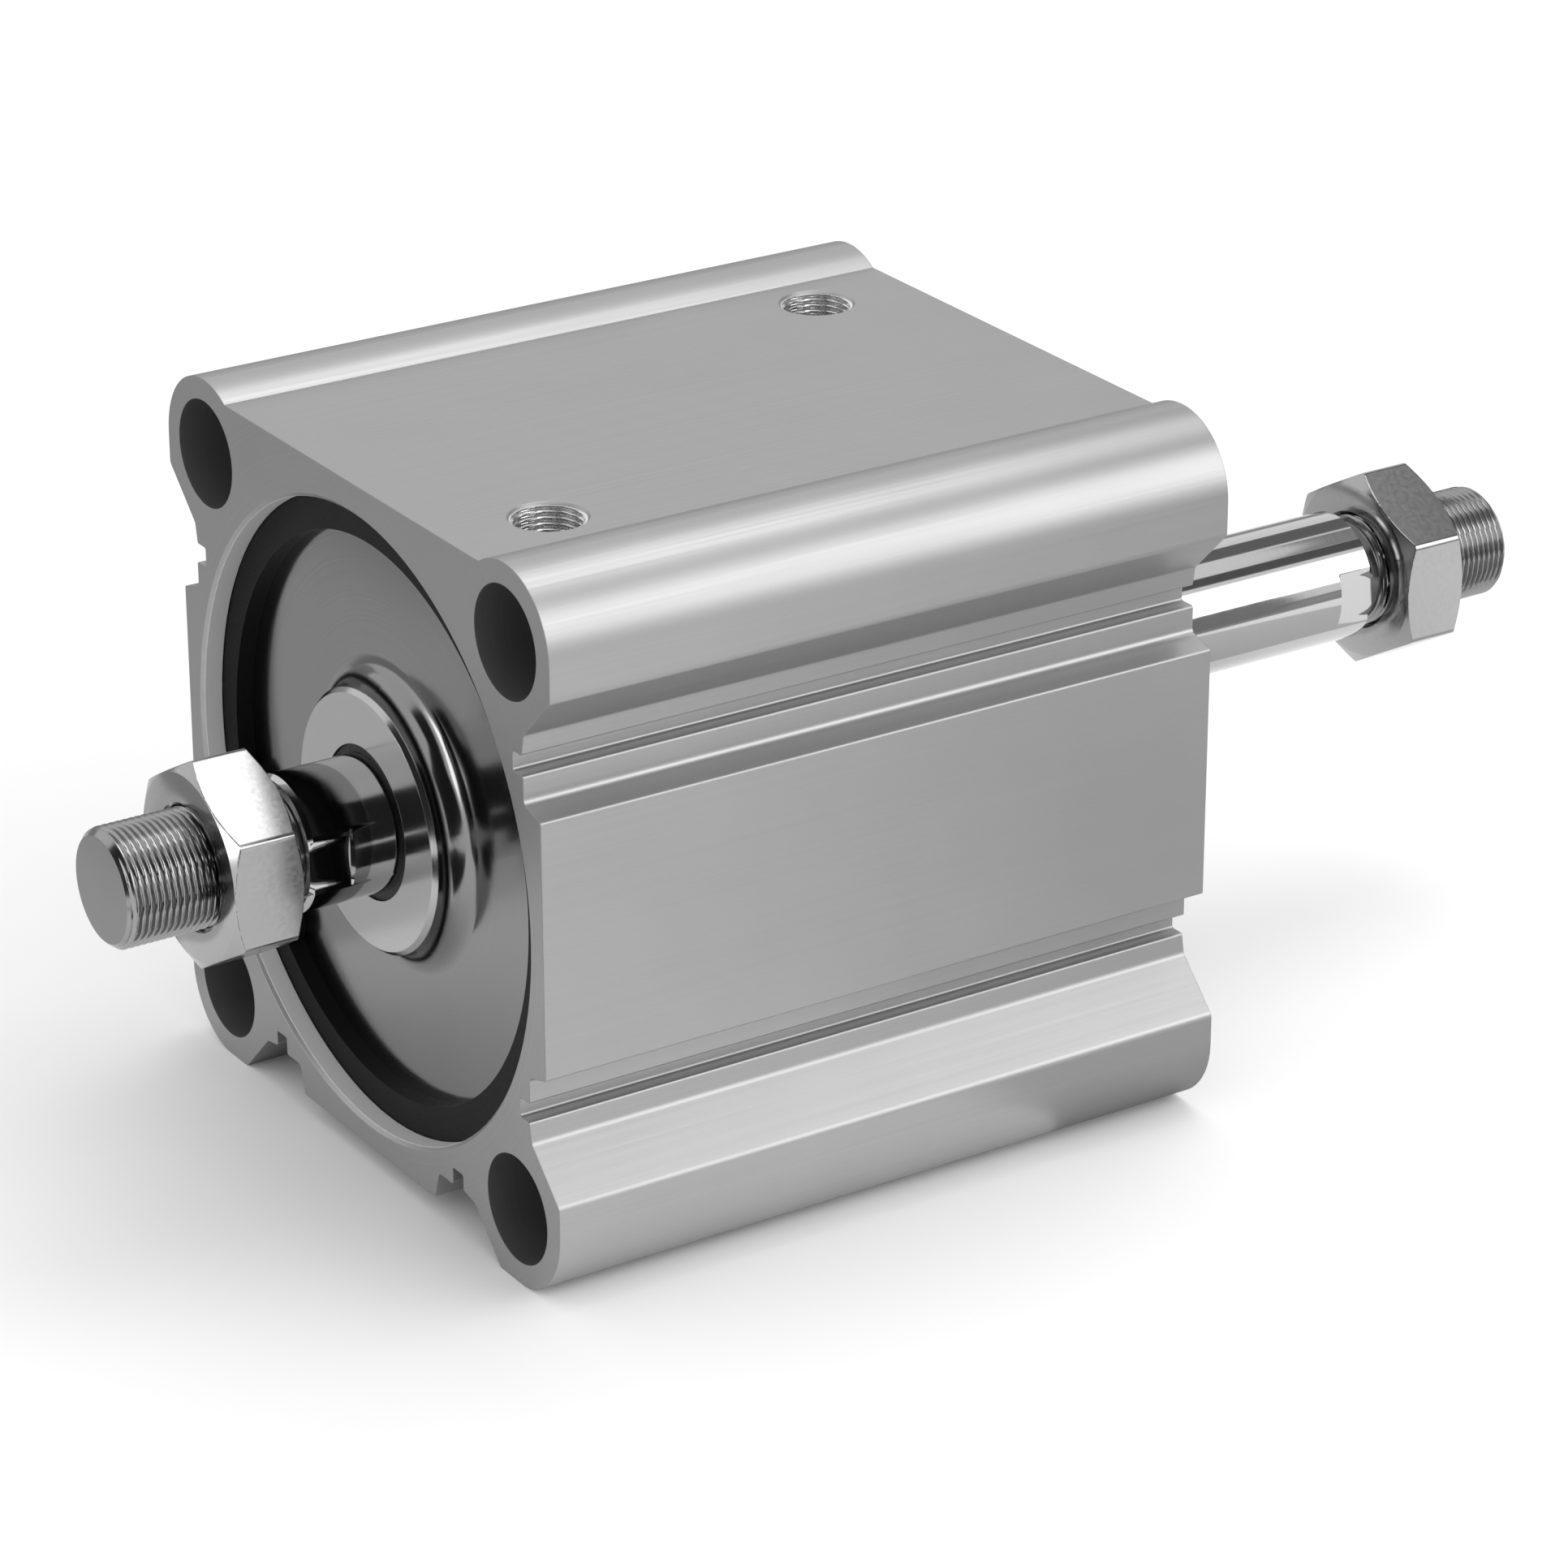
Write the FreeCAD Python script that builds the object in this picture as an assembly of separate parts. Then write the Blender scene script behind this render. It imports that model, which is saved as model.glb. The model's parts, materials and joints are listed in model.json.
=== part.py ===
import FreeCAD, Part
import math
import os

# Compact pneumatic cylinder with a rod through both ends, double acting.
# X runs along the rod, X = 0 is the front mounting face and +X points to the rear.
# Z is up, towards the air ports. All lengths are millimetres.
# The rod is drawn with its front end drawn in and its rear end out.

# Stroke and tube
STROKE = 75.0
BORE = 140.0
TOP_DROP = 3.0
PAD_DROP = 4.5
PAD_WIDTH = 57.0
RAIL_STEP = 6.5
RAIL_LEDGE = 7.8
LEDGE_SLANT = 1.9
SLOT_STEP = 4.0
SLOT_WIDTH = 4.4
SLOT_LIP = 3.6
LIP_HEIGHT = 4.5
LIP_LEAN = 0.8
EDGE_RADIUS = 0.6
LEDGE_RADIUS = 1.5
LOBE_EDGE_RADIUS = 2.0
MOUTH_CHAMFER = 0.8

# Through bolts at the four corners, counterbored at both ends
BOLT_HOLE = 15.0
HEAD_BORE = 24.0
HEAD_DEPTH = 14.0
BORE_WALL = 7.095
LOBE_WALL = 5.0

# Air ports in the top face, one near each end
PORT_BORE = 16.0
PORT_DEPTH = 12.0
PORT_CHAMFER = 0.5
PORT_PASSAGE = 9.0
PORT_WALL = 3.0
PASSAGE_CLEARANCE = 0.85

# Retaining rings in their grooves
RING_INSET = 5.0
RING_THICK = 4.0
RING_GROOVE_DEPTH = 2.5
RING_SIDE_CLEARANCE = 0.15
RING_SEAT_CLEARANCE = 0.2
RING_BACK_WIDTH = 11.4
RING_TIP_WIDTH = 8.4
RING_GAP = 18.0
RING_GAP_ANGLE = 332.0
LUG_RADIUS = 6.0
LUG_REACH = 13.0
LUG_HOLE = 4.0

# Rod covers
COVER_THICK = 22.85
COVER_CLEARANCE = 0.05
BOSS_DIAMETER = 58.0
BOSS_HEIGHT = 7.5
BOSS_FILLET = 5.5
BOSS_CHAMFER = 1.0
GUIDE_LAND = 9.5
AIR_RELIEF = 5.0
GASKET_SETBACK = 3.0
GASKET_SECTION = 2.8
GASKET_BEVEL = 0.8
GASKET_GROOVE_WIDTH = 3.6

# Rod seal and bush inside each cover
SEAL_LIP_WALL = 2.0
SEAL_LIP_LENGTH = 3.2
SEAL_LENGTH = 6.0
SEAL_WALL = 5.0
SEAL_CLEARANCE = 0.1
LIP_SETBACK = 0.6
ROD_PASS_CLEARANCE = 0.5
BUSH_WALL = 2.5
BUSH_LENGTH = 16.0
BUSH_SEAT_CLEARANCE = 0.02

# Piston rods
ROD_DIAMETER = 30.0
ROD_RUNNING_CLEARANCE = 0.05
ROD_REACH = 60.0
THREAD_DIAMETER = 26.0
SHOULDER_LENGTH = 41.0
NECK_LENGTH = 4.0
NECK_DIAMETER = 23.6
TIP_CHAMFER = 1.5
SHOULDER_CHAMFER = 1.0
FLAT_DEPTH = 1.5
FLAT_LENGTH = 10.0
SPIGOT_DIAMETER = 20.0
SPIGOT_GRIP = 20.0
SPIGOT_CLEARANCE = 0.1
SPIGOT_CHAMFER = 1.0

# Piston with its rings
PISTON_WIDTH = 22.5
PISTON_CLEARANCE = 0.3
PISTON_CHAMFER = 1.0
PISTON_LAND = 2.0
GROOVE_DEPTH = 5.5
PISTON_SEAL_WIDTH = 6.0
WEAR_RING_WIDTH = 5.5
WEAR_RING_THICK = 2.5
MAGNET_WIDTH = 4.0
MAGNET_RECESS = 0.4
RING_RUNNING_CLEARANCE = 0.05
GROOVE_SIDE_CLEARANCE = 0.1
BUMPER_INNER = 64.0
BUMPER_OUTER = 84.0
BUMPER_SINK = 3.0
BUMPER_PROUD = 1.25
BUMPER_CLEARANCE = 0.1
BUMPER_CHAMFER = 0.5
END_GAP = 0.5
SPIGOT_GASKET_WIDTH = 2.4
SPIGOT_GASKET_DEPTH = 2.0
GASKET_SEAT_CLEARANCE = 0.05

# Lock nuts
NUT_FLATS = 41.0
NUT_HEIGHT = 16.0
NUT_SETBACK = 20.0
NUT_CLEARANCE = 0.05
NUT_CHAMFER_ANGLE = 30.0

X_AXIS = FreeCAD.Vector(1, 0, 0)
ORIGIN = FreeCAD.Vector(0, 0, 0)

# What follows from the sizes above
bore_r = BORE / 2
lobe_r = HEAD_BORE / 2 + LOBE_WALL
half_pitch = (bore_r + BORE_WALL + HEAD_BORE / 2) / math.sqrt(2)
half_body = half_pitch + lobe_r
top_level = half_body - TOP_DROP
pad_level = half_body - PAD_DROP
rail_level = pad_level - RAIL_STEP
slot_level = rail_level - SLOT_STEP
rail_edge = PAD_WIDTH / 2 + RAIL_LEDGE
slot_edge = rail_edge + SLOT_WIDTH
rod_r = ROD_DIAMETER / 2
thread_r = THREAD_DIAMETER / 2
spigot_r = SPIGOT_DIAMETER / 2
groove_width = RING_THICK + RING_SIDE_CLEARANCE
cover_face = RING_INSET + groove_width
cover_back = cover_face + COVER_THICK
boss_face = cover_face - BOSS_HEIGHT
port_x = cover_face + GUIDE_LAND + PASSAGE_CLEARANCE + PORT_PASSAGE / 2
port_y = half_pitch - HEAD_BORE / 2 - PORT_WALL - PORT_BORE / 2
piston_stack = PISTON_WIDTH + 2 * BUMPER_PROUD + 2 * END_GAP
body_length = 2 * cover_back + piston_stack + STROKE
piston_back = body_length - cover_back - END_GAP - BUMPER_PROUD
piston_front = piston_back - PISTON_WIDTH
front_tip = -ROD_REACH
rear_tip = body_length + ROD_REACH + STROKE
mid_plane = FreeCAD.Vector(body_length / 2, 0, 0)
piston_r = bore_r - PISTON_CLEARANCE
groove_floor = piston_r - GROOVE_DEPTH


def spin(points):
    """Revolve a closed profile of (x, radius) points about the rod axis."""
    corners = [FreeCAD.Vector(x, 0, r) for x, r in points]
    wire = Part.makePolygon(corners + corners[:1])
    return Part.Face(wire).revolve(ORIGIN, X_AXIS, 360)


def tube(x0, x1, inner, outer):
    """Plain ring between two stations and two radii."""
    return spin([(x0, inner), (x1, inner), (x1, outer), (x0, outer)])


def rod_bar(x0, x1, radius):
    """Plain round bar on the rod axis."""
    return Part.makeCylinder(radius, x1 - x0, FreeCAD.Vector(x0, 0, 0), X_AXIS)


def to_rear(shape):
    """Mirror a front piece to the rear end of the tube."""
    return shape.mirror(mid_plane, X_AXIS)


def rounded_wire(corners):
    """Closed wire in the YZ plane from (y, z, radius) corners, each rounded by a tangent arc."""
    points = [FreeCAD.Vector(0, y, z) for y, z, _ in corners]
    edges = []
    joints = []
    for i, corner in enumerate(corners):
        before = (points[i - 1] - points[i]).normalize()
        after = (points[(i + 1) % len(points)] - points[i]).normalize()
        half_angle = before.getAngle(after) / 2
        setback = corner[2] / math.tan(half_angle)
        middle = (before + after).normalize()
        to_arc = corner[2] / math.sin(half_angle) - corner[2]
        joints.append((points[i] + before * setback, points[i] + middle * to_arc, points[i] + after * setback))
    for i, (start, middle, end) in enumerate(joints):
        edges.append(Part.Arc(start, middle, end).toShape())
        following = joints[(i + 1) % len(joints)][0]
        if (following - end).Length > 1e-6:
            edges.append(Part.LineSegment(end, following).toShape())
    return Part.Wire(edges)


def pad_side():
    """Half of one grooved side, from the pad over rail, slot and lip to the lobe, as (along, out, radius)."""
    lip_level = slot_level + SLOT_LIP
    flank_edge = slot_edge + LIP_HEIGHT
    flank_level = lip_level + LIP_LEAN
    return [
        (PAD_WIDTH / 2, pad_level, EDGE_RADIUS),
        (PAD_WIDTH / 2 + LEDGE_SLANT, rail_level, LEDGE_RADIUS),
        (rail_edge, rail_level, EDGE_RADIUS),
        (rail_edge, slot_level, EDGE_RADIUS),
        (slot_edge, slot_level, EDGE_RADIUS),
        (slot_edge, lip_level, EDGE_RADIUS),
        (flank_edge, flank_level, LOBE_EDGE_RADIUS),
        (flank_edge + half_body - flank_level, half_body, LOBE_EDGE_RADIUS),
    ]


def grooved_section():
    """Outline of the extrusion: grooved pads on both sides and below, a plain flat on top."""
    half = pad_side()
    corner = (half_body, half_body, lobe_r)
    right_down = [(v, -u, r) for u, v, r in half]
    right_up = [(v, u, r) for u, v, r in half]
    below = [(u, -v, r) for u, v, r in half]
    outline = right_up + [corner] + [(-y, z, r) for y, z, r in reversed(right_up + [corner])]
    outline += [(-y, z, r) for y, z, r in right_down] + [(-half_body, -half_body, lobe_r)]
    outline += [(-y, z, r) for y, z, r in reversed(below)] + below
    outline += [(half_body, -half_body, lobe_r)] + list(reversed(right_down))
    return Part.Face(rounded_wire(outline))


def cylinder_tube():
    """Extruded barrel with its bore, ring grooves, bolt holes and ports."""
    body = grooved_section().extrude(FreeCAD.Vector(body_length, 0, 0))
    # The top is planed flat between the two upper lobes, which keep their round crowns.
    crown = math.sqrt(lobe_r ** 2 - (top_level - half_pitch) ** 2)
    top_cut = Part.makeBox(body_length, 2 * (half_pitch - crown), TOP_DROP,
                           FreeCAD.Vector(0, -(half_pitch - crown), top_level))
    body = body.cut(top_cut)
    for side in (-1, 1):
        strip = Part.makeBox(body_length, crown, lobe_r, FreeCAD.Vector(0, 0, half_pitch))
        strip.translate(FreeCAD.Vector(0, half_pitch - crown if side > 0 else -half_pitch, 0))
        lobe = Part.makeCylinder(lobe_r, body_length, FreeCAD.Vector(0, side * half_pitch, half_pitch), X_AXIS)
        body = body.cut(strip.cut(lobe))
    cuts = [rod_bar(0, body_length, bore_r)]
    mouth = spin([(0, 0), (0, bore_r + MOUTH_CHAMFER), (MOUTH_CHAMFER, bore_r), (MOUTH_CHAMFER, 0)])
    groove = rod_bar(RING_INSET, cover_face, bore_r + RING_GROOVE_DEPTH)
    cuts += [mouth, to_rear(mouth), groove, to_rear(groove)]
    for y in (-half_pitch, half_pitch):
        for z in (-half_pitch, half_pitch):
            cuts.append(Part.makeCylinder(BOLT_HOLE / 2, body_length, FreeCAD.Vector(0, y, z), X_AXIS))
            head = Part.makeCylinder(HEAD_BORE / 2, HEAD_DEPTH, FreeCAD.Vector(0, y, z), X_AXIS)
            cuts += [head, to_rear(head)]
    cuts += [port(port_x, -port_y), port(body_length - port_x, port_y)]
    return body.cut(cuts)


def port(x, y):
    """Tool for one port: countersunk mouth, tapping bore and the passage down to the bore."""
    down = FreeCAD.Vector(0, 0, -1)
    mouth = FreeCAD.Vector(x, y, top_level)
    tap = Part.makeCylinder(PORT_BORE / 2, PORT_DEPTH, mouth, down)
    sink = Part.makeCone(PORT_BORE / 2 + PORT_CHAMFER, PORT_BORE / 2, PORT_CHAMFER, mouth, down)
    passage = Part.makeCylinder(PORT_PASSAGE / 2, top_level, mouth, down)
    return tap.fuse([sink, passage])


def retaining_ring():
    """Tapered snap ring with two drilled lugs beside its gap, seated on the cover."""
    outer = bore_r + RING_GROOVE_DEPTH - RING_SEAT_CLEARANCE
    inner = outer - (RING_BACK_WIDTH + RING_TIP_WIDTH) / 2
    shift = (RING_BACK_WIDTH - RING_TIP_WIDTH) / 2
    x0 = cover_face - RING_THICK
    inside = Part.makeCylinder(inner, RING_THICK, FreeCAD.Vector(x0, shift, 0), X_AXIS)
    ring = rod_bar(x0, cover_face, outer).cut(inside)
    lug_at = outer - LUG_REACH + LUG_RADIUS
    lug_y = RING_GAP / 2 + LUG_RADIUS
    holes = []
    for side in (-1, 1):
        centre = FreeCAD.Vector(x0, math.sqrt(lug_at ** 2 - lug_y ** 2), side * lug_y)
        root = Part.makeBox(RING_THICK, LUG_REACH - LUG_RADIUS, 2 * LUG_RADIUS,
                            centre + FreeCAD.Vector(0, 0, -LUG_RADIUS))
        eye = Part.makeCylinder(LUG_RADIUS, RING_THICK, centre, X_AXIS)
        ring = ring.fuse([eye, root])
        holes.append(Part.makeCylinder(LUG_HOLE / 2, RING_THICK, centre, X_AXIS))
    gap = Part.makeBox(RING_THICK, outer, RING_GAP, FreeCAD.Vector(x0, 0, -RING_GAP / 2))
    ring = ring.common(rod_bar(x0, cover_face, outer)).cut([gap] + holes)
    ring.rotate(ORIGIN, X_AXIS, RING_GAP_ANGLE)
    return ring.removeSplitter()


gasket_start = cover_face + GASKET_SETBACK
gasket_end = gasket_start + GASKET_GROOVE_WIDTH
gasket_floor = bore_r - GASKET_SECTION - GASKET_SEAT_CLEARANCE
seal_bore = rod_r + SEAL_WALL
lip_bore = rod_r + SEAL_LIP_WALL
seal_start = boss_face + SEAL_LIP_LENGTH
seal_end = seal_start + SEAL_LENGTH
bush_bore = rod_r + BUSH_WALL
bush_start = cover_back - BUSH_LENGTH


def rod_cover():
    """Turned cover: boss towards the face, gasket groove, air relief behind it and a stepped bore."""
    outer = bore_r - COVER_CLEARANCE
    relief = outer - AIR_RELIEF
    boss_r = BOSS_DIAMETER / 2
    rod_pass = rod_r + ROD_PASS_CLEARANCE
    profile = [
        (boss_face, lip_bore), (boss_face, boss_r - BOSS_CHAMFER), (boss_face + BOSS_CHAMFER, boss_r),
        (cover_face, boss_r), (cover_face, outer), (gasket_start, outer), (gasket_start, gasket_floor),
        (gasket_end, gasket_floor), (gasket_end, outer), (cover_face + GUIDE_LAND, outer),
        (cover_face + GUIDE_LAND, relief), (cover_back, relief), (cover_back, bush_bore),
        (bush_start, bush_bore), (bush_start, rod_pass), (seal_end, rod_pass), (seal_end, seal_bore),
        (seal_start, seal_bore), (seal_start, lip_bore),
    ]
    body = spin(profile)
    root = [e for e in body.Edges if is_ring(e, cover_face, boss_r)]
    return body.makeFillet(BOSS_FILLET, root)


def is_ring(edge, x, radius):
    """True for the circular edge of this radius at this station."""
    if not isinstance(edge.Curve, Part.Circle):
        return False
    return abs(edge.Curve.Center.x - x) < 1e-6 and abs(edge.Curve.Radius - radius) < 1e-6


def cover_gasket():
    """Moulded ring with bevelled corners between the cover's groove and the bore."""
    side = GASKET_SECTION - GASKET_SEAT_CLEARANCE
    low = gasket_floor + GASKET_SEAT_CLEARANCE
    high = low + side
    x0 = (gasket_start + gasket_end - side) / 2
    x1 = x0 + side
    return spin([(x0 + GASKET_BEVEL, low), (x1 - GASKET_BEVEL, low), (x1, low + GASKET_BEVEL), (x1, high - GASKET_BEVEL),
                 (x1 - GASKET_BEVEL, high), (x0 + GASKET_BEVEL, high), (x0, high - GASKET_BEVEL), (x0, low + GASKET_BEVEL)])


def rod_seal():
    """Lip packing: a heel in the cover's groove and a wiper lip that shows round the rod."""
    inner = rod_r + ROD_RUNNING_CLEARANCE
    heel = seal_bore - SEAL_CLEARANCE
    lip = lip_bore - SEAL_CLEARANCE
    front = seal_start + SEAL_CLEARANCE
    back = seal_end - SEAL_CLEARANCE
    return spin([(boss_face + LIP_SETBACK, inner), (boss_face + LIP_SETBACK, lip), (front, lip),
                 (front, heel), (back, heel), (back, inner)])


def rod_bush():
    """Plain bearing bush in the inner end of the cover."""
    return tube(bush_start, cover_back, rod_r + ROD_RUNNING_CLEARANCE, bush_bore - BUSH_SEAT_CLEARANCE)


seal_from = piston_front + (PISTON_WIDTH - PISTON_SEAL_WIDTH) / 2
seal_to = seal_from + PISTON_SEAL_WIDTH
wear_from = piston_front + PISTON_LAND
wear_to = wear_from + WEAR_RING_WIDTH
magnet_to = piston_back - PISTON_LAND
magnet_from = magnet_to - MAGNET_WIDTH
wear_floor = bore_r - WEAR_RING_THICK - RING_RUNNING_CLEARANCE
bumper_in = BUMPER_INNER / 2
bumper_out = BUMPER_OUTER / 2
gasket_from = (piston_front + piston_back) / 2 - SPIGOT_GASKET_WIDTH / 2
gasket_to = gasket_from + SPIGOT_GASKET_WIDTH
gasket_r = spigot_r + SPIGOT_CLEARANCE + SPIGOT_GASKET_DEPTH


def piston():
    """Turned piston with grooves for seal, wear ring and magnet, and a bumper recess in each face."""
    hole = spigot_r + SPIGOT_CLEARANCE
    body = spin([(piston_front, hole), (piston_front, piston_r - PISTON_CHAMFER), (piston_front + PISTON_CHAMFER, piston_r),
                 (piston_back - PISTON_CHAMFER, piston_r), (piston_back, piston_r - PISTON_CHAMFER), (piston_back, hole)])
    rim = bore_r
    grooves = [tube(wear_from, wear_to, wear_floor, rim), tube(seal_from, seal_to, groove_floor, rim),
               tube(magnet_from, magnet_to, groove_floor, rim), tube(gasket_from, gasket_to, spigot_r, gasket_r)]
    recess = tube(piston_front, piston_front + BUMPER_SINK, bumper_in, bumper_out)
    recess_back = tube(piston_back - BUMPER_SINK, piston_back, bumper_in, bumper_out)
    return body.cut(grooves + [recess, recess_back])


def piston_seal():
    """Double-lip packing of the piston, running on the bore."""
    x0 = seal_from + GROOVE_SIDE_CLEARANCE
    x1 = seal_to - GROOVE_SIDE_CLEARANCE
    low = groove_floor + GROOVE_SIDE_CLEARANCE
    high = bore_r - RING_RUNNING_CLEARANCE
    third = (x1 - x0) / 3
    valley = high - third / 2
    return spin([(x0, low), (x0, high - third / 2), (x0 + third / 2, high), (x0 + third, high), (x0 + 1.5 * third, valley),
                 (x1 - third, high), (x1 - third / 2, high), (x1, high - third / 2), (x1, low)])


def wear_ring():
    """Guide strip between piston and bore."""
    return tube(wear_from + GROOVE_SIDE_CLEARANCE, wear_to - GROOVE_SIDE_CLEARANCE,
                wear_floor + RING_RUNNING_CLEARANCE, bore_r - RING_RUNNING_CLEARANCE)


def magnet_ring():
    """Magnet band that works the position switches, set just under the piston's rim."""
    return tube(magnet_from + GROOVE_SIDE_CLEARANCE, magnet_to - GROOVE_SIDE_CLEARANCE,
                groove_floor + GROOVE_SIDE_CLEARANCE, piston_r - MAGNET_RECESS)


def bumper():
    """Rubber ring in the piston's front recess, standing a little proud of the face."""
    x0 = piston_front - BUMPER_PROUD
    x1 = piston_front + BUMPER_SINK
    low = bumper_in + BUMPER_CLEARANCE
    high = bumper_out - BUMPER_CLEARANCE
    return spin([(x0, low + BUMPER_CHAMFER), (x0 + BUMPER_CHAMFER, low), (x1, low), (x1, high),
                 (x0 + BUMPER_CHAMFER, high), (x0, high - BUMPER_CHAMFER)])


def piston_gasket():
    """Static ring that seals the piston on the rod's spigot."""
    return tube(gasket_from + GASKET_SEAT_CLEARANCE, gasket_to - GASKET_SEAT_CLEARANCE,
                spigot_r + GASKET_SEAT_CLEARANCE, gasket_r - GASKET_SEAT_CLEARANCE)


def rod_end():
    """Profile of the front rod end from its tip to the rod's full diameter, as (x, radius)."""
    neck_r = NECK_DIAMETER / 2
    shoulder = front_tip + SHOULDER_LENGTH
    return [(front_tip, 0), (front_tip, thread_r - TIP_CHAMFER), (front_tip + TIP_CHAMFER, thread_r),
            (shoulder - NECK_LENGTH, thread_r), (shoulder - NECK_LENGTH, neck_r), (shoulder, neck_r),
            (shoulder, rod_r - SHOULDER_CHAMFER), (shoulder + SHOULDER_CHAMFER, rod_r)]


def flats():
    """Cutters for the two spanner flats behind the front shoulder."""
    shoulder = front_tip + SHOULDER_LENGTH
    return [Part.makeBox(FLAT_LENGTH, FLAT_DEPTH, ROD_DIAMETER, FreeCAD.Vector(shoulder, y, -rod_r))
            for y in (rod_r - FLAT_DEPTH, -rod_r)]


def front_piston_rod():
    """Front rod whose spigot passes through the piston and screws into the rear rod."""
    spigot_tip = piston_back + SPIGOT_GRIP
    back = [(piston_front, rod_r), (piston_front, spigot_r), (spigot_tip - SPIGOT_CHAMFER, spigot_r),
            (spigot_tip, spigot_r - SPIGOT_CHAMFER), (spigot_tip, 0)]
    return spin(rod_end() + back).cut(flats())


def rear_piston_rod():
    """Rear rod, clamped to the piston by the front rod's spigot."""
    socket_r = spigot_r + SPIGOT_CLEARANCE
    socket_end = piston_back + SPIGOT_GRIP + SPIGOT_CHAMFER
    ending = [(front_tip + rear_tip - x, r) for x, r in rod_end()]
    profile = [(piston_back, socket_r), (piston_back, rod_r)] + list(reversed(ending))
    profile += [(socket_end, 0), (socket_end, socket_r)]
    middle = FreeCAD.Vector((front_tip + rear_tip) / 2, 0, 0)
    return spin(profile).cut([f.mirror(middle, X_AXIS) for f in flats()])


def lock_nut():
    """Hexagon nut with both faces chamfered, flats to the sides, on the front thread."""
    corner_r = NUT_FLATS / math.sqrt(3)
    x0 = front_tip + NUT_SETBACK
    x1 = x0 + NUT_HEIGHT
    points = [FreeCAD.Vector(x0, corner_r * math.sin(k * math.pi / 3), corner_r * math.cos(k * math.pi / 3)) for k in range(7)]
    prism = Part.Face(Part.makePolygon(points)).extrude(NUT_HEIGHT * X_AXIS)
    slope = math.tan(math.radians(NUT_CHAMFER_ANGLE))
    rim = NUT_FLATS / 2
    drop = (corner_r - rim) * slope
    turned = spin([(x0, 0), (x0, rim), (x0 + drop, corner_r), (x1 - drop, corner_r), (x1, rim), (x1, 0)])
    return prism.common(turned).cut(rod_bar(x0, x1, thread_r + NUT_CLEARANCE))


def rear_lock_nut(front_nut):
    """The same nut on the rear thread, as far from its tip as the front one."""
    return front_nut.mirror(FreeCAD.Vector((front_tip + rear_tip) / 2, 0, 0), X_AXIS)


def main():
    """Build every piece and write one file for each."""
    cover, ring, gasket = rod_cover(), retaining_ring(), cover_gasket()
    seal, bush, nut, stop = rod_seal(), rod_bush(), lock_nut(), bumper()
    piston_middle = FreeCAD.Vector((piston_front + piston_back) / 2, 0, 0)
    pieces = {
        "cylinder_tube": cylinder_tube(),
        "front_rod_cover": cover,
        "rear_rod_cover": to_rear(cover),
        "front_retaining_ring": ring,
        "rear_retaining_ring": to_rear(ring),
        "front_cover_gasket": gasket,
        "rear_cover_gasket": to_rear(gasket),
        "front_rod_bush": bush,
        "rear_rod_bush": to_rear(bush),
        "front_rod_seal": seal,
        "rear_rod_seal": to_rear(seal),
        "piston": piston(),
        "piston_seal": piston_seal(),
        "wear_ring": wear_ring(),
        "magnet_ring": magnet_ring(),
        "front_bumper": stop,
        "rear_bumper": stop.mirror(piston_middle, X_AXIS),
        "piston_gasket": piston_gasket(),
        "front_piston_rod": front_piston_rod(),
        "rear_piston_rod": rear_piston_rod(),
        "front_lock_nut": nut,
        "rear_lock_nut": rear_lock_nut(nut),
    }
    os.makedirs("parts", exist_ok=True)
    for name, shape in pieces.items():
        if not shape.isValid() or len(shape.Solids) != 1:
            raise ValueError(name + " is not one sound solid")
        shape.exportStep("parts/" + name + ".step")
        box = shape.BoundBox
        print(name, round(shape.Volume, 1), [round(v, 2) for v in (box.XMin, box.XMax, box.YMin, box.YMax, box.ZMin, box.ZMax)])


main()
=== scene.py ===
"""Looks of a compact pneumatic cylinder with a rod through both ends.

All lengths are metres in the frame of the CAD: X along the rod to the rear, Z up, X = 0 at the front face.
"""

from __future__ import annotations

import json
import logging
import math
from dataclasses import dataclass
from enum import Enum
from typing import Any

import bpy
import numpy as np
from mathutils import Matrix, Vector


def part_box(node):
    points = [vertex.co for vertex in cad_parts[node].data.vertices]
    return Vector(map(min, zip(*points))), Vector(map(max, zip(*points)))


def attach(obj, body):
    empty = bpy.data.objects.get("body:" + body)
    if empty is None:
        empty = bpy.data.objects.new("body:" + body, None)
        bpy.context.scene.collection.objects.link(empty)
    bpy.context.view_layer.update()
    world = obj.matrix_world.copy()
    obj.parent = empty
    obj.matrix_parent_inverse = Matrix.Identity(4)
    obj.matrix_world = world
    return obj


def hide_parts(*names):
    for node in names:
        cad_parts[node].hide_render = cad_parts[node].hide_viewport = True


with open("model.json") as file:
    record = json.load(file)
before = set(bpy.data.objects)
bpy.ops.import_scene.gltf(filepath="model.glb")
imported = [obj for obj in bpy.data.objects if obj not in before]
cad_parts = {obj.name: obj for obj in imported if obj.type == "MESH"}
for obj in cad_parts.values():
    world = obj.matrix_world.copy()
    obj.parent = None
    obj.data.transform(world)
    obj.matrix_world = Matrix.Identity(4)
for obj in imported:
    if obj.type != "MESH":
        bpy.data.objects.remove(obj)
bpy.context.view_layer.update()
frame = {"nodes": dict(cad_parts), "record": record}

log = logging.getLogger("compact_cylinder")

MM = 0.001
TURN = 2.0 * math.pi

# The radius that light sees on the sharp edges of tube and covers, and the rays that find it.
EDGE_BREAK = 0.3 * MM
EDGE_SAMPLES = 4

# The zones' limits: how squarely an end faces along the rod, then just past bore, counterbore and boss face.
END_FACING = 0.9
BORE_ZONE_RADIUS = 70.05 * MM
BOLT_ZONE_RADIUS = 12.05 * MM
BOSS_ZONE_DEPTH = 1.1 * MM

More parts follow.
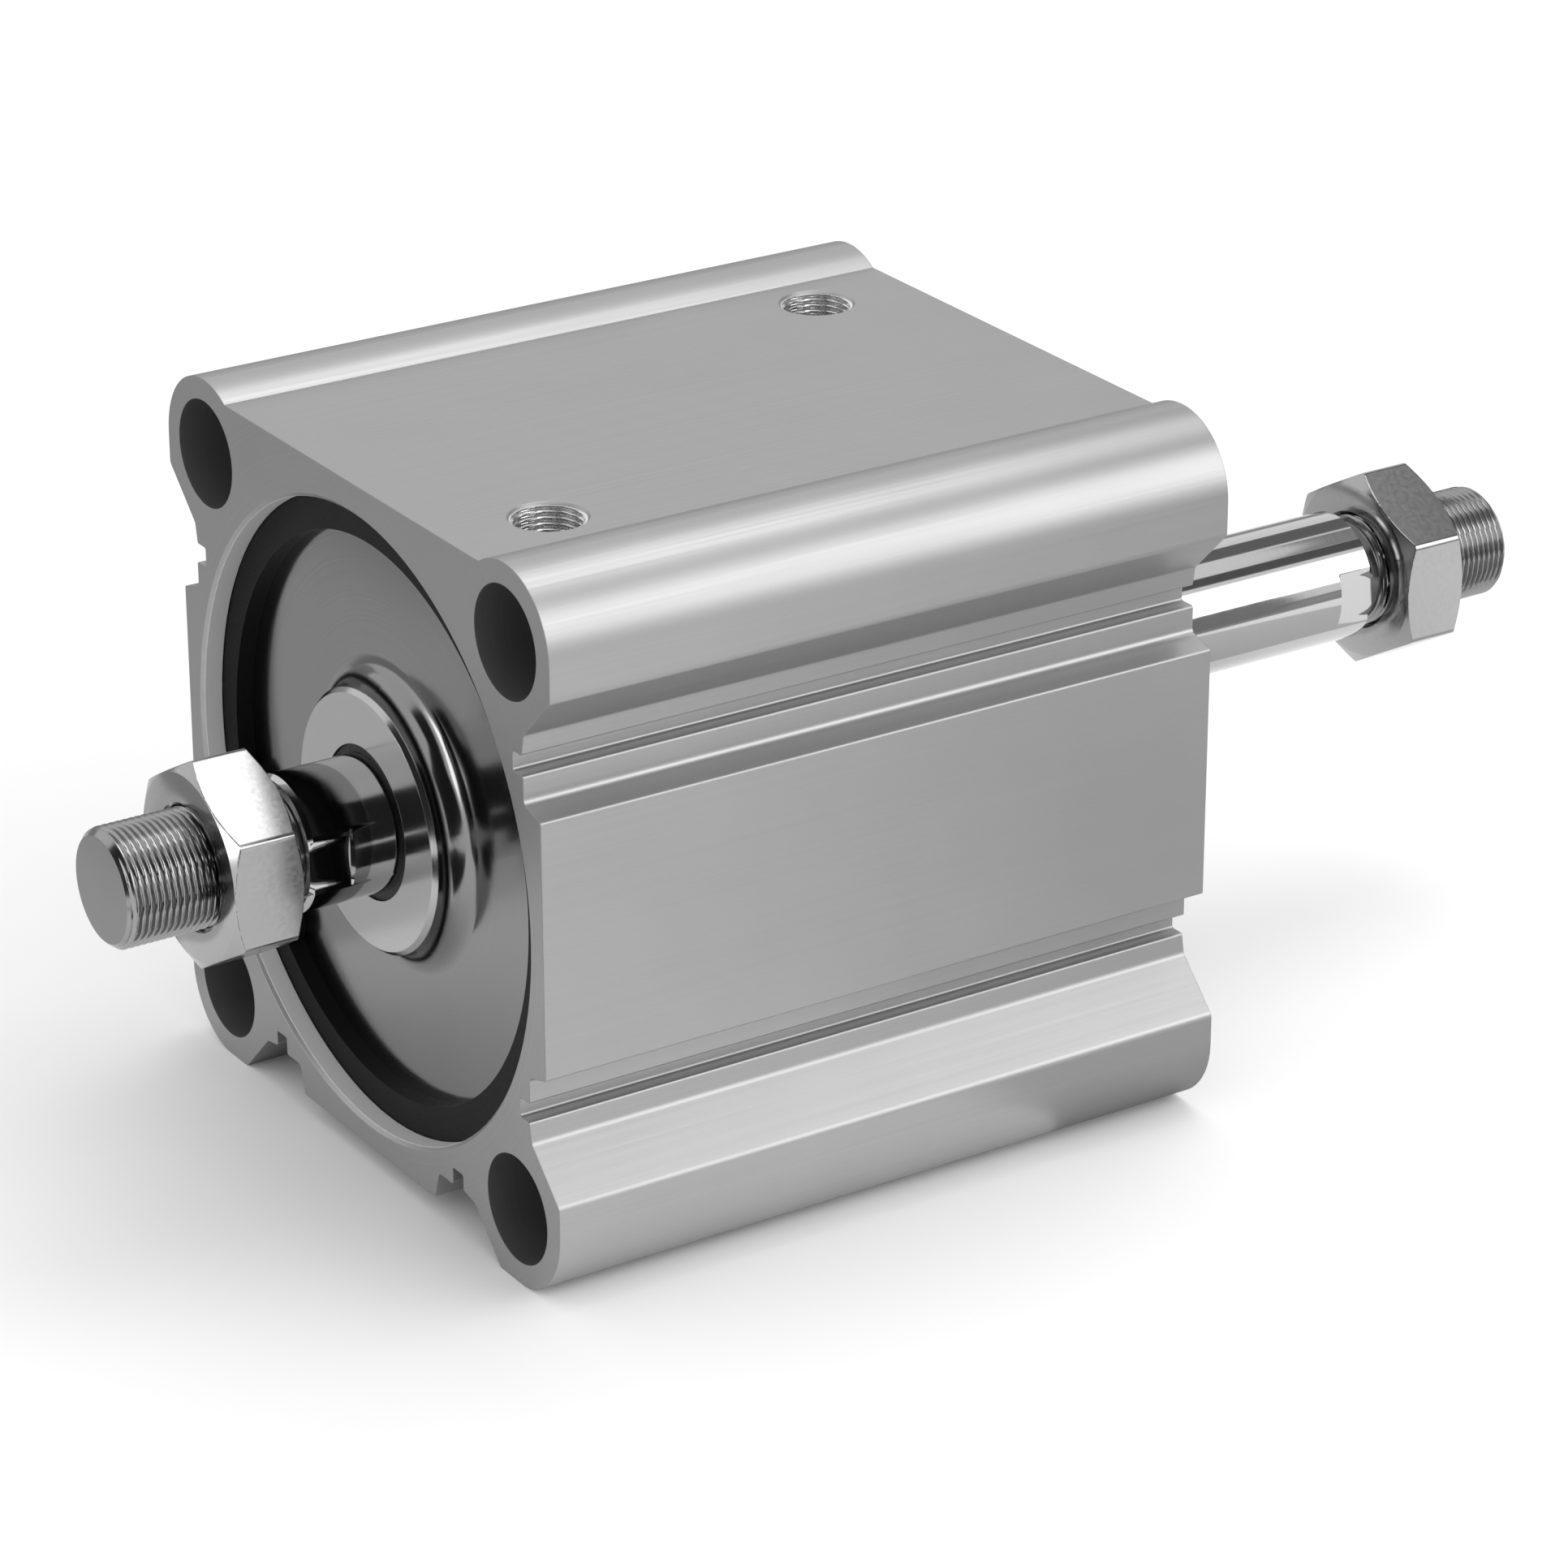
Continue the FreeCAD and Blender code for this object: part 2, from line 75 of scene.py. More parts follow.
# The marks' noise, the band that most of its values keep to, and the noise by which marks come and go.
MARK_DETAIL = 3.0
MARK_ROUGHNESS = 0.6
MARK_LOW = 0.3
MARK_HIGH = 0.7
CLOUD_DETAIL = 2.0

# Shares of half a thread's pitch from the crest's middle: the flat crest, then the flank. The rest is root.
CREST_SHARE = 0.14
FLANK_SHARE = 0.6


class End(Enum):
    """The two ends of the cylinder."""

    FRONT = "front"
    REAR = "rear"


class Lay(Enum):
    """Direction of the marks that making leaves on a surface."""

    DRAWN = "lines along the rod's axis"
    TURNED = "rings round the rod's axis"
    GROUND = "fine rings along the rod's length"
    GRAIN = "even grain without direction"


class Zone(Enum):
    """Part of a piece that has a finish of its own."""

    ENDS = "faces square to the rod"
    BORE = "the wall of the bore"
    BOSS = "the boss's face round the rod"
    BOLTS = "the walls of the bolt holes"


def linear(colour: str) -> tuple[float, float, float, float]:
    """Turn an sRGB hex colour into linear light, by the straight foot and the power curve that sRGB has.

    Args:
        colour: six hex digits with a leading #.

    Returns:
        Red, green, blue and an alpha of one.
    """
    levels = np.array([int(colour[k : k + 2], 16) for k in (1, 3, 5)]) / 255.0
    light = np.where(levels <= 0.04045, levels / 12.92, ((levels + 0.055) / 1.055) ** 2.4)
    return (float(light[0]), float(light[1]), float(light[2]), 1.0)


def mount(name: str) -> dict[str, Any]:
    """Give one of the record's mounts.

    Args:
        name: the mount's name.

    Returns:
        The mount as the record has it.
    """
    return next(m for m in frame["record"]["mounts"] if m["name"] == name)


def add(
    tree: bpy.types.NodeTree,
    kind: str,
    settings: dict[str | int, Any],
    links: dict[str | int, bpy.types.NodeSocket],
) -> bpy.types.Node:
    """Add one node with its settings and its incoming links.

    Args:
        tree: the node tree to add to.
        kind: the node's Blender type.
        settings: node properties, and values of input sockets where no property has the name.
        links: output sockets of other nodes, by the input socket that takes them.

    Returns:
        The new node.
    """
    node = tree.nodes.new(kind)
    for key, value in settings.items():
        if isinstance(key, str) and hasattr(node, key):
            setattr(node, key, value)
        else:
            node.inputs[key].default_value = value
    for key, socket in links.items():
        tree.links.new(socket, node.inputs[key])
    return node


def axis_distance(tree: bpy.types.NodeTree, point: bpy.types.NodeSocket) -> bpy.types.NodeSocket:
    """Give the distance of a point from the X axis: the length of its Y and Z part.

    Args:
        tree: the material's node tree.
        point: the point in the piece's own frame.

    Returns:
        The distance's socket.
    """
    across = add(tree, "ShaderNodeVectorMath", {"operation": "MULTIPLY", 1: (0.0, 1.0, 1.0)}, {0: point})
    length = add(tree, "ShaderNodeVectorMath", {"operation": "LENGTH"}, {0: across.outputs["Vector"]})
    return length.outputs["Value"]


def zone_mask(tree: bpy.types.NodeTree, zone: Zone) -> bpy.types.NodeSocket:
    """Give one inside a zone and nought outside it, from the place and normal in the piece's own frame.

    Ends are where the normal's X part is large. The bore is near the rod's axis, and the bolt holes are
    near the axis of one hole, once the four holes are folded on each other. The boss is far from the
    tube's middle.

    Args:
        tree: the material's node tree.
        zone: the zone to mask.

    Returns:
        The mask's socket.
    """
    place = add(tree, "ShaderNodeTexCoord", {}, {})
    if zone is Zone.ENDS:
        normal = add(tree, "ShaderNodeSeparateXYZ", {}, {0: place.outputs["Normal"]})
        facing = add(tree, "ShaderNodeMath", {"operation": "ABSOLUTE"}, {0: normal.outputs["X"]})
        measure = facing.outputs["Value"]
        test = {"operation": "GREATER_THAN", 1: END_FACING}
    elif zone is Zone.BORE:
        measure = axis_distance(tree, place.outputs["Object"])
        test = {"operation": "LESS_THAN", 1: BORE_ZONE_RADIUS}
    elif zone is Zone.BOLTS:
        half_pitch = mount("front_bolt_pattern")["dims"]["spacing_x_mm"] / 2.0 * MM
        to_bolt = {"operation": "SUBTRACT", 1: (0.0, half_pitch, half_pitch)}
        folded = add(tree, "ShaderNodeVectorMath", {"operation": "ABSOLUTE"}, {0: place.outputs["Object"]})
        from_bolt = add(tree, "ShaderNodeVectorMath", to_bolt, {0: folded.outputs["Vector"]})
        measure = axis_distance(tree, from_bolt.outputs["Vector"])
        test = {"operation": "LESS_THAN", 1: BOLT_ZONE_RADIUS}
    else:
        low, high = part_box("cylinder_tube")
        middle = (low.x + high.x) / 2.0
        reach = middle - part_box("front_rod_cover")[0].x - BOSS_ZONE_DEPTH
        point = add(tree, "ShaderNodeSeparateXYZ", {}, {0: place.outputs["Object"]})
        to_middle = {"operation": "SUBTRACT", 1: middle}
        from_middle = add(tree, "ShaderNodeMath", to_middle, {0: point.outputs["X"]})
        outward = add(tree, "ShaderNodeMath", {"operation": "ABSOLUTE"}, {0: from_middle.outputs["Value"]})
        measure = outward.outputs["Value"]
        test = {"operation": "GREATER_THAN", 1: reach}
    return add(tree, "ShaderNodeMath", test, {0: measure}).outputs["Value"]


@dataclass(frozen=True)
class Finish:
    """A material and the way its surface was made.

    Colour and shade are the tones that the marks mix, and spread is how far they vary the roughness. The
    lay sets how the marks run, and mark and run are the width and length of one mark in millimetres.
    Relief is the marks' height, and cloud the size of the patches in which they come and go, in
    millimetres too. Stretch is how far turned marks draw a highlight out. Mirror is how far a surface that
    isn't metal throws back light as a mirror does, with 0.5 for plain gloss. Rim is the tint of a metal's
    reflections where the eye skims the surface.
    """

    name: str
    colour: str
    shade: str
    metallic: float
    roughness: float
    spread: float
    lay: Lay
    mark: float
    relief: float
    run: float = 1.0
    cloud: float = 25.0
    stretch: float = 0.0
    mirror: float = 0.5
    rim: str = "#FFFFFF"

    def scale(self) -> tuple[float, float, float]:
        """Give the density of the mark pattern along X, Y and Z, in marks per metre."""
        fine = 1.0 / (self.mark * MM)
        long = 1.0 / (self.run * MM)
        density = {
            Lay.DRAWN: (long, fine, fine),
            Lay.TURNED: (fine, fine, fine),
            Lay.GROUND: (fine, long, long),
            Lay.GRAIN: (fine, fine, fine),
        }
        return density[self.lay]

    def layers(self, tree: bpy.types.NodeTree) -> tuple[bpy.types.NodeSocket, ...]:
        """Add the nodes of the finish's colour, roughness and relief.

        Marks are noise stretched along the lay. A turned lay feeds the noise with the distance from the rod's
        axis alone, so that its marks become rings. Clouds of a larger noise make the marks come and go.

        Args:
            tree: the material's node tree.

        Returns:
            The sockets of colour, roughness and height in metres.
        """
        place = add(tree, "ShaderNodeTexCoord", {}, {})
        point = place.outputs["Object"]
        if self.lay is Lay.TURNED:
            point = add(tree, "ShaderNodeCombineXYZ", {}, {"X": axis_distance(tree, point)}).outputs["Vector"]
        spaced = add(tree, "ShaderNodeMapping", {"Scale": self.scale()}, {"Vector": point})
        marks = add(
            tree,
            "ShaderNodeTexNoise",
            {"Scale": 1.0, "Detail": MARK_DETAIL, "Roughness": MARK_ROUGHNESS},
            {"Vector": spaced.outputs["Vector"]},
        )
        clouds = add(
            tree,
            "ShaderNodeTexNoise",
            {"Scale": 1.0 / (self.cloud * MM), "Detail": CLOUD_DETAIL},
            {"Vector": place.outputs["Object"]},
        )
        blend = add(
            tree,
            "ShaderNodeMath",
            {"operation": "MULTIPLY"},
            {0: marks.outputs["Fac"], 1: clouds.outputs["Fac"]},
        )
        tone = add(
            tree,
            "ShaderNodeMix",
            {"data_type": "RGBA", 6: linear(self.colour), 7: linear(self.shade)},
            {0: blend.outputs["Value"]},
        )
        gloss = add(
            tree,
            "ShaderNodeMapRange",
            {
                "From Min": MARK_LOW,
                "From Max": MARK_HIGH,
                "To Min": self.roughness - self.spread,
                "To Max": self.roughness + self.spread,
            },
            {"Value": marks.outputs["Fac"]},
        )
        height = add(
            tree,
            "ShaderNodeMath",
            {"operation": "MULTIPLY", 1: self.relief * MM},
            {0: marks.outputs["Fac"]},
        )
        return tone.outputs[2], gloss.outputs["Result"], height.outputs["Value"]

    def build(self, insets: dict[Zone, Finish] | None = None, edge: float = 0.0) -> bpy.types.Material:
        """Make the material, with other finishes inside zones where they are given.

        Args:
            insets: the finishes of the zones.
            edge: the radius that light sees on sharp edges, in metres.

        Returns:
            The material with its nodes.
        """
        material = bpy.data.materials.new(self.name)
        material.use_nodes = True
        tree = material.node_tree
        tree.nodes.clear()
        colour, gloss, height = self.layers(tree)
        metal: bpy.types.NodeSocket | None = None
        for zone, inset in (insets or {}).items():
            mask = zone_mask(tree, zone)
            inner_colour, inner_gloss, inner_height = inset.layers(tree)
            tones = {0: mask, 6: colour, 7: inner_colour}
            colour = add(tree, "ShaderNodeMix", {"data_type": "RGBA"}, tones).outputs[2]
            gloss = add(tree, "ShaderNodeMix", {}, {0: mask, 2: gloss, 3: inner_gloss}).outputs[0]
            height = add(tree, "ShaderNodeMix", {}, {0: mask, 2: height, 3: inner_height}).outputs[0]
            if inset.metallic != self.metallic:
                blend = add(tree, "ShaderNodeMix", {2: self.metallic, 3: inset.metallic}, {0: mask})
                if metal:
                    tree.links.new(metal, blend.inputs[2])
                metal = blend.outputs[0]
        bump = add(tree, "ShaderNodeBump", {"Strength": 1.0, "Distance": 1.0}, {"Height": height})
        if edge > 0.0:
            rounded = add(tree, "ShaderNodeBevel", {"samples": EDGE_SAMPLES, "Radius": edge}, {})
            tree.links.new(rounded.outputs["Normal"], bump.inputs["Normal"])
        shader = add(
            tree,
            "ShaderNodeBsdfPrincipled",
            {
                "Metallic": self.metallic,
                "Anisotropic": self.stretch,
                "Specular IOR Level": self.mirror,
                "Specular Tint": linear(self.rim),
            },
            {"Base Color": colour, "Roughness": gloss, "Normal": bump.outputs["Normal"]},
        )
        if metal:
            tree.links.new(metal, shader.inputs["Metallic"])
        if self.stretch > 0.0:
            round_axis = add(tree, "ShaderNodeTangent", {"direction_type": "RADIAL", "axis": "X"}, {})
            tree.links.new(round_axis.outputs["Tangent"], shader.inputs["Tangent"])
        add(tree, "ShaderNodeOutputMaterial", {}, {"Surface": shader.outputs["BSDF"]})
        return material


# Real die lines and tool marks are often finer than these, which are as coarse as they need to show.

# Extruded aluminium, etched and clear anodised: an even silver satin with faint die lines along the length.
TUBE_FINISH = Finish(
    "extruded_anodised_aluminium",
    colour="#ABABAB",
    shade="#9F9F9F",
    metallic=0.83,
    roughness=0.38,
    spread=0.05,
    lay=Lay.DRAWN,
    mark=0.7,
    run=150.0,
    relief=0.004,
    rim="#DCDCDC",
)
# The extrusion's ends, faced by a cutter after sawing: duller, with arcs of tool marks round the bore, and a
# little darker than the sides as painted shade.
FACED_AND_SHADED_FINISH = Finish(
    "faced_and_shaded_aluminium",
    colour="#A2A2A2",
    shade="#949494",
    metallic=0.8,
    roughness=0.42,
    spread=0.06,
    lay=Lay.TURNED,
    mark=0.6,
    relief=0.004,
)
# The bore's honed wall: bare and pale, with a dull sheen and fine rings from the honing.
HONED_FINISH = Finish(
    "honed_aluminium",
    colour="#E4E4E4",
    shade="#D8D8D8",
    metallic=0.3,
    roughness=0.55,
    spread=0.06,
    lay=Lay.GROUND,
    mark=0.4,
    run=60.0,
    relief=0.002,
)
# Walls of the bolt holes, left as the drill and counterbore cut them: dull, and dark as painted shade inside
# the holes.
DRILLED_AND_SHADED_FINISH = Finish(
    "drilled_and_shaded_aluminium",
    colour="#6C6C6C",
    shade="#5E5E5E",
    metallic=0.6,
    roughness=0.5,
    spread=0.06,
    lay=Lay.GROUND,
    mark=0.5,
    run=40.0,
    relief=0.004,
)
# Threads cut in the ports after anodising: bare, bright aluminium.
TAPPED_FINISH = Finish(
    "tapped_bare_aluminium",
    colour="#E6E6E6",
    shade="#D8D8D8",
    metallic=1.0,
    roughness=0.26,
    spread=0.05,
    lay=Lay.GRAIN,
    mark=0.4,
    relief=0.002,
)
# Cover turned from cast aluminium and anodised: darker grey, glossy, with rings that fan the light out.
COVER_FINISH = Finish(
    "turned_anodised_aluminium",
    colour="#8E8E8E",
    shade="#808080",
    metallic=1.0,
    roughness=0.15,
    spread=0.04,
    lay=Lay.TURNED,
    mark=0.6,
    relief=0.002,
    stretch=0.3,
)
# The boss's face, finished by a last fine cut: brighter than the rest of the cover.
BOSS_FINISH = Finish(
    "fine_turned_aluminium",
    colour="#BABABA",
    shade="#AEAEAE",
    metallic=1.0,
    roughness=0.16,
    spread=0.04,
    lay=Lay.TURNED,
    mark=0.4,
    relief=0.0015,
)
# Spring steel with a phosphate and oil finish: nearly black, with a dull sheen.
RING_FINISH = Finish(
    "phosphated_spring_steel",
    colour="#101010",
    shade="#0A0A0A",
    metallic=0.0,
    roughness=0.42,
    spread=0.06,
    lay=Lay.GRAIN,
    mark=0.5,
    relief=0.004,
    mirror=0.1,
)
# Moulded nitrile rubber: black and matt with a fine bloom.
RUBBER_FINISH = Finish(
    "moulded_nitrile_rubber",
    colour="#161616",
    shade="#0E0E0E",
    metallic=0.0,
    roughness=0.55,
    spread=0.08,
    lay=Lay.GRAIN,
    mark=0.4,
    relief=0.006,
)
# Sintered bronze with oil in its pores: dull brown gold with fine pits.
BRONZE_FINISH = Finish(
    "sintered_bronze",
    colour="#A9814F",
    shade="#7F5D36",
    metallic=1.0,
    roughness=0.45,
    spread=0.08,
    lay=Lay.GRAIN,
    mark=0.3,
    relief=0.01,
)
# Turned aluminium left bare: brighter than the anodised covers, with clear rings.
PISTON_FINISH = Finish(
    "turned_bare_aluminium",
    colour="#C6C7C8",
    shade="#B1B2B4",
    metallic=1.0,
    roughness=0.28,
    spread=0.06,
    lay=Lay.TURNED,
    mark=0.5,
    relief=0.006,
)
# Filled guide resin: dull ivory with a fine speckle.
GUIDE_FINISH = Finish(
    "filled_guide_resin",
    colour="#BFB8A6",
    shade="#ABA492",
    metallic=0.0,
    roughness=0.5,
    spread=0.06,
    lay=Lay.GRAIN,
    mark=0.5,
    relief=0.006,
)
# Rubber-bound ferrite: charcoal grey, matt, slightly grainy.
MAGNET_FINISH = Finish(
    "bonded_ferrite",
    colour="#2F2E2E",
    shade="#1E1E1E",
    metallic=0.0,
    roughness=0.6,
    spread=0.06,
    lay=Lay.GRAIN,
    mark=0.3,
    relief=0.008,
)
# Cast polyurethane: charcoal, smooth, slightly waxy.
BUMPER_FINISH = Finish(
    "cast_polyurethane",
    colour="#1E1E20",
    shade="#161618",
    metallic=0.0,
    roughness=0.4,
    spread=0.05,
    lay=Lay.GRAIN,
    mark=0.8,
    relief=0.004,
)
# Hard chrome, ground and polished: a clear mirror with very faint grinding rings.
CHROME_FINISH = Finish(
    "ground_hard_chrome",
    colour="#C2C2C2",
    shade="#BABABA",
    metallic=1.0,
    roughness=0.07,
    spread=0.02,
    lay=Lay.GROUND,
    mark=0.5,
    run=60.0,
    relief=0.0003,
)
# Cut thread in plain carbon steel: bright flanks, less polished than the chrome.
THREAD_FINISH = Finish(
    "cut_thread_steel",
    colour="#A0A0A0",
    shade="#909090",
    metallic=1.0,
    roughness=0.18,
    spread=0.05,
    lay=Lay.GROUND,
    mark=0.4,
    run=60.0,
    relief=0.001,
)
# Forged steel with bright zinc plate: a soft mirror with a faint orange peel.
NUT_FINISH = Finish(
    "bright_zinc_plated_steel",
    colour="#ACACAC",
    shade="#A2A2A2",
    metallic=1.0,
    roughness=0.16,
    spread=0.04,
    lay=Lay.GRAIN,
    mark=1.2,
    relief=0.003,
)


def surface(name: str, points: np.ndarray, ring: bool, sharp: float = 35.0) -> bpy.types.Mesh:
    """Close a grid of points into a mesh.

    Row i, column j is joined to the next row and the next column. Columns close on themselves. Rows close
    on themselves where ring is true, and otherwise a pole at the middle of the first and last row closes
    the ends.

    Args:
        name: the mesh's name.
        points: an array of rows, columns and three coordinates. Columns run anticlockwise, seen from the
            end that the outside's rows run to.
        ring: whether the last row joins the first.
        sharp: the angle between faces, in degrees, from which an edge stays sharp.

    Returns:
        The mesh, smooth, with its sharp edges marked.
    """
    rows, columns = points.shape[:2]
    index = np.arange(rows * columns).reshape(rows, columns)
    across = np.roll(index, -1, axis=1)
    last = rows if ring else rows - 1
    below = np.roll(index, -1, axis=0)[:last]
    below_across = np.roll(across, -1, axis=0)[:last]
    quads = np.stack([index[:last], across[:last], below_across, below], axis=-1).reshape(-1, 4)
    vertices = points.reshape(-1, 3)
    faces = quads.tolist()
    if not ring:
        poles = np.stack([points[0].mean(axis=0), points[-1].mean(axis=0)])
        first = np.full(columns, rows * columns)
        faces += np.stack([first, across[0], index[0]], axis=-1).tolist()
        faces += np.stack([first + 1, index[-1], across[-1]], axis=-1).tolist()
        vertices = np.concatenate([vertices, poles])
    mesh = bpy.data.meshes.new(name)
    mesh.from_pydata(vertices.tolist(), [], faces)
    mesh.polygons.foreach_set("use_smooth", np.ones(len(mesh.polygons), dtype=bool))
    mesh.set_sharp_from_angle(angle=math.radians(sharp))
    mesh.update()
    return mesh


def around(x: np.ndarray, radius: np.ndarray, angles: np.ndarray) -> np.ndarray:
    """Carry radii round the rod's axis: each point is (x, r cos a, r sin a).

    Args:
        x: the rows' places along the axis.
        radius: a radius for each row and angle.
        angles: the columns' angles, growing.

    Returns:
        The grid of points.
    """
    along = np.broadcast_to(x[:, None], radius.shape)
    return np.stack([along, radius * np.cos(angles), radius * np.sin(angles)], axis=-1)


def thread_cut(along: np.ndarray, angles: np.ndarray, pitch: float, depth: float) -> np.ndarray:
    """Give how deep a thread cuts at each place and angle.

    The phase is the place over the pitch less the share of a turn. Its distance from the crest, from 0 to
    1, goes through a flat crest, a straight flank and a flat root.

    Args:
        along: places along the axis.
        angles: angles round the axis.
        pitch: the thread's pitch.
        depth: the thread's depth.

    Returns:
        Depths for each place and angle.
    """
    phase = along[:, None] / pitch - angles[None, :] / TURN
    fall = np.abs(2.0 * (phase - np.floor(phase)) - 1.0)
    flank = np.clip((fall - CREST_SHARE) / FLANK_SHARE, 0.0, 1.0)
    return depth * flank


def piece(
    name: str, mesh: bpy.types.Mesh, finishes: list[bpy.types.Material], body: str
) -> bpy.types.Object:
    """Make an object from a mesh, and give it its materials and body.

    Args:
        name: the piece's name.
        mesh: its mesh, already in place.
        finishes: its materials, in the order of the mesh's material numbers.
        body: the body that it rides on.

    Returns:
        The new object.
    """
    thing = bpy.data.objects.new(name, mesh)
    bpy.context.scene.collection.objects.link(thing)
    for finish in finishes:
        mesh.materials.append(finish)
    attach(thing, body)
    log.info("built %s with %d faces", name, len(mesh.polygons))
    return thing


def dress(node: str, finish: bpy.types.Material) -> None:
    """Give a CAD node its material.

    Args:
        node: the node's name.
        finish: the material for all its faces.
    """
    for slot in frame["nodes"][node].material_slots:
        slot.material = finish
    log.info("dressed %s", node)


@dataclass
class PistonRod:
    """One half of the through rod, with its thread, neck and spanner flats.

    Step is the length over which the radius changes at a square shoulder. The least cosine keeps the
    radius of a flat's plane finite where the plane is seen edge on.
    """

    end: End
    radius: float = 15.0 * MM
    thread_radius: float = 13.0 * MM
    neck_radius: float = 11.8 * MM
    neck_relief: float = 0.3 * MM
    pitch: float = 1.5 * MM
    thread_depth: float = 0.85 * MM
    thread_length: float = 37.0 * MM
    neck_length: float = 4.0 * MM
    tip_chamfer: float = 1.5 * MM
    shoulder_chamfer: float = 1.0 * MM
    flat_depth: float = 1.5 * MM
    flat_length: float = 10.0 * MM
    flat_runout: float = 0.4 * MM
    spigot_radius: float = 10.0 * MM
    socket_radius: float = 10.1 * MM
    spigot_chamfer: float = 1.0 * MM
    step: float = 0.02 * MM
    least_cosine: float = 1e-3
    steps_per_pitch: int = 12
    columns: int = 144
    sharp_angle: float = 20.0

    def angles(self) -> np.ndarray:
        """Give even angles, with the edges of the two flats put in."""
        even = np.arange(self.columns) * TURN / self.columns
        edge = math.acos(1.0 - self.flat_depth / self.radius)
        edges = np.array([edge, math.pi - edge, math.pi + edge, TURN - edge])
        return np.union1d(even, edges)

    def threaded_end(self, angles: np.ndarray) -> tuple[np.ndarray, np.ndarray]:
        """Work out the threaded end from its tip to the full rod, measured from the tip.

        The thread's radius is the smaller of the tip's cone and the crest less the thread's cut. The flats
        hold the radius to the distance of their plane over the cosine of the angle.

        Args:
            angles: the columns' angles.

        Returns:
            Places from the tip, and the radius at each place and angle.
        """
        count = round(self.thread_length / self.pitch * self.steps_per_pitch)
        cut_x = np.linspace(0.0, self.thread_length, count + 1)
        cone = self.thread_radius - self.tip_chamfer + cut_x
        crest = self.thread_radius - thread_cut(cut_x, angles, self.pitch, self.thread_depth)
        thread = np.minimum(crest, cone[:, None])
        shoulder = self.thread_length + self.neck_length
        flat_end = shoulder + self.flat_length
        x = np.array(
            [
                self.thread_length + self.neck_relief,
                shoulder - self.neck_relief,
                shoulder,
                shoulder + self.step,
                shoulder + self.shoulder_chamfer,
                flat_end - self.flat_runout,
                flat_end,
            ]
        )
        full = np.array(
            [
                self.neck_radius,
                self.neck_radius,
                self.neck_radius + self.neck_relief,
                self.radius - self.shoulder_chamfer,
                self.radius,
                self.radius,
                self.radius,
            ]
        )
        plane = (self.radius - self.flat_depth) / np.maximum(np.abs(np.cos(angles)), self.least_cosine)
        held = np.array([False, False, False, True, True, True, False])
        plain = np.where(held[:, None], np.minimum(full[:, None], plane[None, :]), full[:, None])
        return np.concatenate([cut_x, x]), np.concatenate([thread, plain])

    def build(self, chrome: bpy.types.Material, thread: bpy.types.Material) -> None:
        """Make the rod in the place of its CAD node.

        The front half ends in a spigot through the piston, and the rear half begins with the socket for it.

        Args:
            chrome: material of the ground rod.
            thread: material of the threaded end and neck.
        """
        node = f"{self.end.value}_piston_rod"
        low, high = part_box(node)
        angles = self.angles()
        end_x, end_r = self.threaded_end(angles)
        spread = np.ones(len(angles))
        if self.end is End.FRONT:
            tip = low.x
            piston_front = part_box("piston")[0].x
            spigot_tip = self.spigot_radius - self.spigot_chamfer
            tail_x = np.array([piston_front, piston_front + self.step, high.x - self.spigot_chamfer, high.x])
            tail_r = np.array([self.radius, self.spigot_radius, self.spigot_radius, spigot_tip])
            x = np.concatenate([tip + end_x, tail_x])
            radius = np.concatenate([end_r, tail_r[:, None] * spread])
        else:
            tip = high.x
            socket_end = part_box("front_piston_rod")[1].x + self.spigot_chamfer
            head_x = np.array([socket_end, low.x, low.x + self.step])
            head_r = np.array([self.socket_radius, self.socket_radius, self.radius])
            x = np.concatenate([head_x, tip - end_x[::-1]])
            radius = np.concatenate([head_r[:, None] * spread, end_r[::-1]])
        points = around(x, radius, angles)
        rod = surface(f"{self.end.value}_threaded_rod", points, ring=False, sharp=self.sharp_angle)
        centres = np.empty(len(rod.polygons) * 3)
        rod.polygons.foreach_get("center", centres)
        shoulder = self.thread_length + self.neck_length
        threaded = np.abs(centres[::3] - tip) < shoulder - self.step / 2.0
        rod.polygons.foreach_set("material_index", threaded.astype(np.int32))
        made = piece(rod.name, rod, [chrome, thread], "rod")
        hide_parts(node)


@dataclass
class LockNut:
    """Hexagon nut with chamfered faces and softened corners."""

    end: End
    sides: int = 6
    flats: float = 41.0 * MM
    corner_trim: float = 0.25 * MM
    face_ring: float = 20.3 * MM
    chamfer_slope: float = math.tan(math.radians(30.0))
    chamfer_rows: int = 24
    bore: float = 13.05 * MM
    bore_chamfer: float = 0.9 * MM
    columns: int = 360

    def build(self, finish: bpy.types.Material) -> None:
        """Make the nut in the place of its CAD node.

        The side's radius is half the width across flats over the cosine of the angle from the nearest flat.
        The corners stop at a trimmed circle, and near each face a cone cuts them.

        Args:
            finish: the nut's material.
        """
        node = f"{self.end.value}_lock_nut"
        low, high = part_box(node)
        angles = np.arange(self.columns) * TURN / self.columns
        sector = TURN / self.sides
        from_flat = (angles + sector / 2.0) % sector - sector / 2.0
        half_flats = self.flats / 2.0
        corner = half_flats / math.cos(sector / 2.0) - self.corner_trim
        side = np.minimum(half_flats / np.cos(from_flat), corner)
        depth = np.linspace(0.0, (corner - self.face_ring) * self.chamfer_slope, self.chamfer_rows)
        cone = self.face_ring + depth / self.chamfer_slope
        edge = np.minimum(side[None, :], cone[:, None])
        mouth = self.bore + self.bore_chamfer
        hole_x = np.array([high.x, high.x - self.bore_chamfer, low.x + self.bore_chamfer, low.x])
        hole_r = np.array([mouth, self.bore, self.bore, mouth])
        x = np.concatenate([low.x + depth, high.x - depth[::-1], hole_x])
        radius = np.concatenate([edge, edge[::-1], hole_r[:, None] * np.ones(self.columns)])
        mesh = surface(f"{self.end.value}_hexagon_nut", around(x, radius, angles), ring=True)
        made = piece(mesh.name, mesh, [finish], f"{self.end.value}_nut")
        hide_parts(node)


